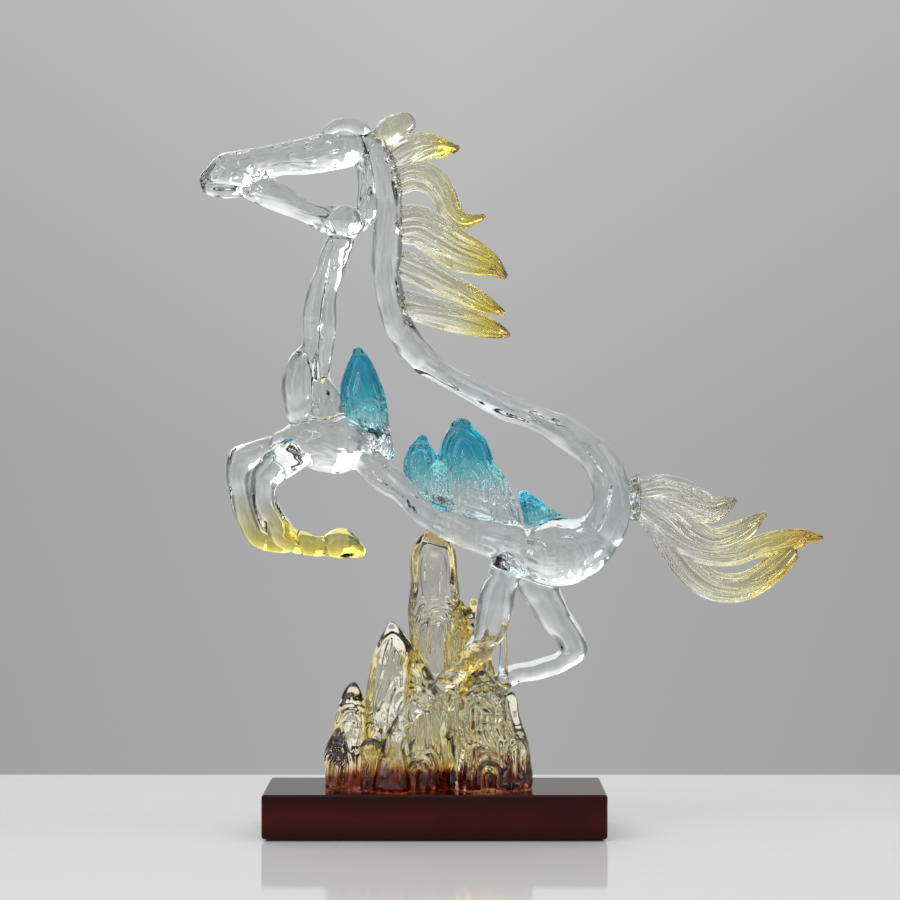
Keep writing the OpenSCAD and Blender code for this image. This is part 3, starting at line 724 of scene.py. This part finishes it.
def horse_head(material):
    """Head and lower jaw, with eye, nostril, mouth and cheek."""
    obj = fused("horse_head", solids(HEAD_NODES), 0.5 * MM)
    relaxed(obj, 14)
    swell(obj, 16 * MM, 0.3 * MM, 21)
    outline_ridges(obj, 4.0 * MM, 0.34 * MM, 1.3, 0.2)
    # eye socket, eyeball and brow
    dimple(obj, spot("head", 0.59, 0.78), 3.6 * MM, -1.3 * MM)
    dimple(obj, spot("head", 0.59, 0.78), 1.7 * MM, 1.8 * MM)
    groove(obj, "head", [(0.47, 0.86), (0.54, 0.99), (0.65, 0.99), (0.7, 0.85)], 1.1, 1.1)
    groove(obj, "head", [(0.5, 0.62), (0.58, 0.56), (0.68, 0.64)], 1.0, 0.7)
    # nostril and its rim
    dimple(obj, spot("head", 0.12, 0.58), 3.0 * MM, 0.9 * MM)
    dimple(obj, spot("head", 0.115, 0.57), 1.5 * MM, -2.1 * MM)
    # mouth, lips and chin folds
    groove(obj, "head", [(0.0, 0.24), (0.12, 0.2), (0.27, 0.16)], 0.9, -1.6)
    groove(obj, "head", [(0.03, 0.08), (0.2, 0.04)], 1.3, 0.6)
    groove(obj, "head", [(0.3, 0.5), (0.27, 0.3), (0.34, 0.12)], 1.1, -0.8)
    groove(obj, "head", [(0.19, 0.8), (0.2, 0.5), (0.17, 0.3)], 1.3, -0.5)
    # temple knot and cheek bone
    dimple(obj, spot("head", 0.79, 0.55), 2.6 * MM, 0.9 * MM)
    dimple(obj, spot("head", 0.85, 0.42), 1.5 * MM, -1.1 * MM)
    groove(obj, "head", [(0.33, 0.42), (0.5, 0.5), (0.7, 0.44), (0.84, 0.55)], 1.1, -0.8)
    groove(obj, "head", [(0.3, 0.8), (0.42, 0.74), (0.5, 0.86)], 1.1, -0.6)
    # cheek disc and jaw folds
    disc = [(0.77 + 0.12 * math.cos(a), 0.24 + 0.19 * math.sin(a)) for a in np.linspace(0, 2 * math.pi, 13)]
    groove(obj, "lower_jaw", disc, 1.0, -0.9)
    dimple(obj, spot("lower_jaw", 0.77, 0.24), 2.2 * MM, 0.6 * MM)
    groove(obj, "lower_jaw", [(0.1, 0.5), (0.3, 0.42), (0.5, 0.3), (0.62, 0.3)], 1.0, -0.9)
    groove(obj, "lower_jaw", [(0.9, 0.9), (0.92, 0.6), (0.86, 0.35)], 0.9, -0.8)
    relaxed(obj, 1)
    hand_over(obj, HEAD_NODES, material)


def plain_casting(name, nodes, voxel, passes, material, ripple=0.15):
    """A clear piece with a smooth, slightly wavy skin."""
    obj = fused(name, solids(nodes, 0.05 * MM), voxel * MM)
    relaxed(obj, passes)
    swell(obj, 8 * MM, ripple * MM, 31)
    return hand_over(obj, nodes, material)


def collar():
    """The smooth root of the tail, with a raised band where it meets the rump."""
    obj = fused("dock_collar", solids(["tail_collar"], 0.0), 0.5 * MM)
    relaxed(obj, 6)
    low, high = node_box("tail_collar")
    middle = low[0] + 0.32 * (high[0] - low[0])
    points = coords(obj)
    beyond = np.maximum(points[:, 0] - middle, 0)
    points[:, 0] -= 0.85 * beyond
    set_coords(obj, points)
    push(obj, 0.5 * MM * np.exp(-((points[:, 0] - middle) / (1.6 * MM)) ** 2))
    hand_over(obj, ["tail_collar"], clear)


def mane_lock(index, node, rows):
    """A lock of wound strands, clear at its root and orange at its tip."""
    parts, paths = lock_parts(node, rows, TWIST if index % 2 else -TWIST, 40 + index)
    obj = fused(node + "_strands", parts, 0.34 * MM)
    relaxed(obj, 1, False)
    note_grooves(obj, paths)
    stops = [(0.0, (0.96, 0.97, 0.93)), (0.3, (0.96, 0.96, 0.82)), (0.55, YELLOW_PALE), (0.75, YELLOW),
             (1.0, ORANGE)]
    hand_over(obj, [node], hair_glass(node + "_glass", node, stops))


def tail():
    """Four locks of wound strands in one skin."""
    parts, paths = [], []
    for index, rows in enumerate(TAIL_ROWS):
        lock, strands = lock_parts("tail", rows, TWIST if index % 2 else -TWIST, 60 + index)
        parts += lock
        paths.append(strands)
    obj = fused("tail_strands", parts, 0.38 * MM)
    relaxed(obj, 1, False)
    note_grooves(obj, np.vstack(paths))
    stops = [(0.0, CLEAR), (0.3, (0.96, 0.96, 0.86)), (0.55, YELLOW_PALE), (0.78, (0.98, 0.8, 0.16)),
             (0.95, ORANGE)]
    hand_over(obj, ["tail"], hair_glass("tail_glass", "tail", stops))


def peak(node, spacing, height, clear_until, full_from, places, size):
    """A teal peak; spacing, height and size are in millimetres."""
    obj = fused(node + "_range", solids([node], 0.0), 0.5 * MM)
    relaxed(obj, 5)
    outline_ridges(obj, spacing * MM, height * MM, 1.5, 0.22)
    swirls(obj, node, places, size * MM, 0.8 * MM, 2)
    relaxed(obj, 2, False)
    hand_over(obj, [node], peak_glass(node + "_glass", node, clear_until, full_from))


def rock(node, spacing, height, material, seed, places, size):
    """A rock of the pile; spacing, height and size are in millimetres."""
    obj = fused(node + "_rock", solids([node], 0.0), 0.6 * MM)
    relaxed(obj, 8)
    swell(obj, 20 * MM, 0.8 * MM, seed)
    outline_ridges(obj, spacing * MM, height * MM, 1.5, 0.15, seed)
    swirls(obj, node, places, size * MM, 1.5 * MM, 2)
    relaxed(obj, 3, False)
    rest_on_plinth(obj)
    hand_over(obj, [node], material)


def plinth_and_pad():
    """The plinth and its felt are the CAD nodes, with better materials."""
    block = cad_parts["plinth"]
    block.data.materials.clear()
    block.data.materials.append(plinth_gloss())
    bevel = block.modifiers.new("soft_edges", "BEVEL")
    bevel.width = 0.35 * MM
    bevel.segments = 3
    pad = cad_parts["felt_pad"]
    pad.data.materials.clear()
    pad.data.materials.append(felt())


clear = horse_glass()
horse_body(clear)
horse_head(clear)
plain_casting("forelock_tuft", ["forelock"], 0.45, 4, clear)
ear = frosted_ear()
plain_casting("ear_near_satin", ["ear_near"], 0.4, 4, ear, 0.35)
plain_casting("ear_far_satin", ["ear_far"], 0.4, 4, ear, 0.35)
plain_casting("support_bar", ["support_rod"], 0.4, 4, clear)
collar()
for number, (lock_node, lock_rows) in enumerate(MANE_ROWS.items()):
    mane_lock(number, lock_node, lock_rows)
tail()
# Places of the arches: (along X, up) as shares of the piece's own box, then a factor on their size.
peak("chest_peak", 3.6, 0.5, 0.2, 0.66,
     [(0.16, 0.44, 0.9), (0.56, 0.4, 1.0), (0.8, 0.14, 0.9), (0.36, 0.16, 1.0)], 5.2)
peak("belly_peaks", 3.8, 0.6, 0.26, 0.72,
     [(0.14, 0.6, 1.0), (0.3, 0.4, 1.0), (0.56, 0.4, 1.1), (0.76, 0.36, 1.0), (0.44, 0.16, 0.9),
      (0.84, 0.12, 0.9)], 6.2)
peak("flank_peak", 2.8, 0.45, 0.0, 0.6, [(0.22, 0.4, 1.0), (0.55, 0.26, 1.0), (0.85, 0.1, 0.8)], 3.8)
amber = rock_glass("amber_glass", 88 * MM)
brown = rock_glass("brown_glass", 76 * MM)
rock("rock_tall", 6.5, 1.1, amber, 71, [(0.42, 0.62, 1.0), (0.4, 0.3, 1.1)], 9)
rock("rock_left", 6.0, 1.5, amber, 72,
     [(0.62, 0.42, 1.2), (0.3, 0.26, 1.0), (0.72, 0.1, 0.8)], 9)
rock("rock_mid", 5.5, 1.1, amber, 73, [(0.4, 0.78, 1.0), (0.5, 0.4, 1.3)], 6.5)
rock("rock_low", 5.0, 1.2, brown, 74, [(0.6, 0.6, 1.0), (0.3, 0.24, 1.0)], 6.5)
rock("rock_right", 6.0, 1.5, brown, 75,
     [(0.4, 0.6, 1.3), (0.14, 0.3, 0.9), (0.8, 0.3, 0.9), (0.48, 0.12, 1.0)], 8)
plain_casting("rock_pebble_ball", ["rock_pebble"], 0.5, 4, brown, 0.2)
plinth_and_pad()


# --- Floor, light and camera ---

def floor():
    """A pale polished table top that ends a little behind the figure."""
    far_edge, width, depth = 0.21, 2.2, 1.3
    bpy.ops.mesh.primitive_plane_add(size=1.0, location=(0, far_edge - depth / 2, 0))
    top = bpy.context.object
    top.name = "table_top"
    top.scale = (width, depth, 1)
    s = Shader("table_white")
    s.link(s.ramp(s.noise(3.0, 5.0), [(0.35, (0.74, 0.74, 0.75)), (0.65, (0.82, 0.82, 0.82))]),
           s.principled.inputs["Base Color"])
    s.set(Roughness=0.07, Specular_IOR_Level=0.45)
    top.data.materials.append(s.material)


def softbox(name, place, aim, width, height, power):
    light = bpy.data.lights.new(name, "AREA")
    light.shape = "RECTANGLE"
    light.size = width
    light.size_y = height
    light.energy = power
    obj = bpy.data.objects.new(name, light)
    obj.location = place
    obj.rotation_euler = (Vector(aim) - Vector(place)).to_track_quat("-Z", "Y").to_euler()
    bpy.context.scene.collection.objects.link(obj)


def studio():
    """A grey room, lighter overhead and darker to the sides, with soft boxes."""
    world = bpy.data.worlds.new("grey_room")
    bpy.context.scene.world = world
    world.use_nodes = True
    tree = world.node_tree
    add, link = tree.nodes.new, tree.links.new
    split = add("ShaderNodeSeparateXYZ")
    link(add("ShaderNodeTexCoord").outputs["Generated"], split.inputs[0])

    def ramp(value, stops):
        node = add("ShaderNodeValToRGB")
        while len(node.color_ramp.elements) < len(stops):
            node.color_ramp.elements.new(0.5)
        for element, (place, grey) in zip(node.color_ramp.elements, stops):
            element.position = place
            element.color = (grey, grey, grey, 1)
        link(value, node.inputs["Fac"])
        return node.outputs["Color"]

    def math_node(kind, a, b=None):
        node = add("ShaderNodeMath")
        node.operation = kind
        for socket, value in zip(node.inputs, (a, b)):
            if isinstance(value, (int, float)):
                socket.default_value = value
            elif value is not None:
                link(value, socket)
        return node.outputs[0]

    across = math_node("ABSOLUTE", split.outputs["X"])
    sides = ramp(across, [(0.0, 0.46), (0.16, 0.4), (0.4, 0.5), (0.55, 0.2), (0.85, 0.16), (1.0, 0.35)])
    lift = ramp(math_node("MULTIPLY_ADD", split.outputs["Z"], 0.5),
                [(0.0, 0.6), (0.5, 0.93), (0.58, 1.16), (0.7, 1.7), (1.0, 3.4)])
    total = add("ShaderNodeMix")
    total.data_type = "RGBA"
    total.blend_type = "MULTIPLY"
    total.inputs["Factor"].default_value = 1.0
    link(sides, total.inputs[6])
    link(lift, total.inputs[7])
    background = tree.nodes["Background"]
    link(total.outputs[2], background.inputs["Color"])
    background.inputs["Strength"].default_value = 1.0
    softbox("left_box", (-1.1, -0.7, 0.9), (0, 0, 0.15), 0.8, 1.5, 6.5)
    softbox("left_strip", (-0.8, -1.0, 0.6), (0, 0, 0.15), 0.08, 0.9, 2)
    softbox("right_box", (1.2, -0.2, 0.7), (0, 0, 0.15), 0.6, 1.2, 3.5)
    softbox("back_strip", (-0.5, 1.1, 0.9), (0, 0, 0.15), 0.5, 1.0, 2)


def camera():
    """Level with the belly and nearly square on, from about 1.2 m."""
    view = bpy.data.cameras.new("camera")
    view.lens = 111.8
    view.sensor_width = 36.0
    obj = bpy.data.objects.new("camera", view)
    obj.location = (0.0065, -1.202, 0.164)
    obj.rotation_euler = (math.pi / 2, 0, 0)
    bpy.context.scene.collection.objects.link(obj)
    bpy.context.scene.camera = obj


camera()
floor()
studio()
bpy.context.scene.view_settings.view_transform = "Standard"
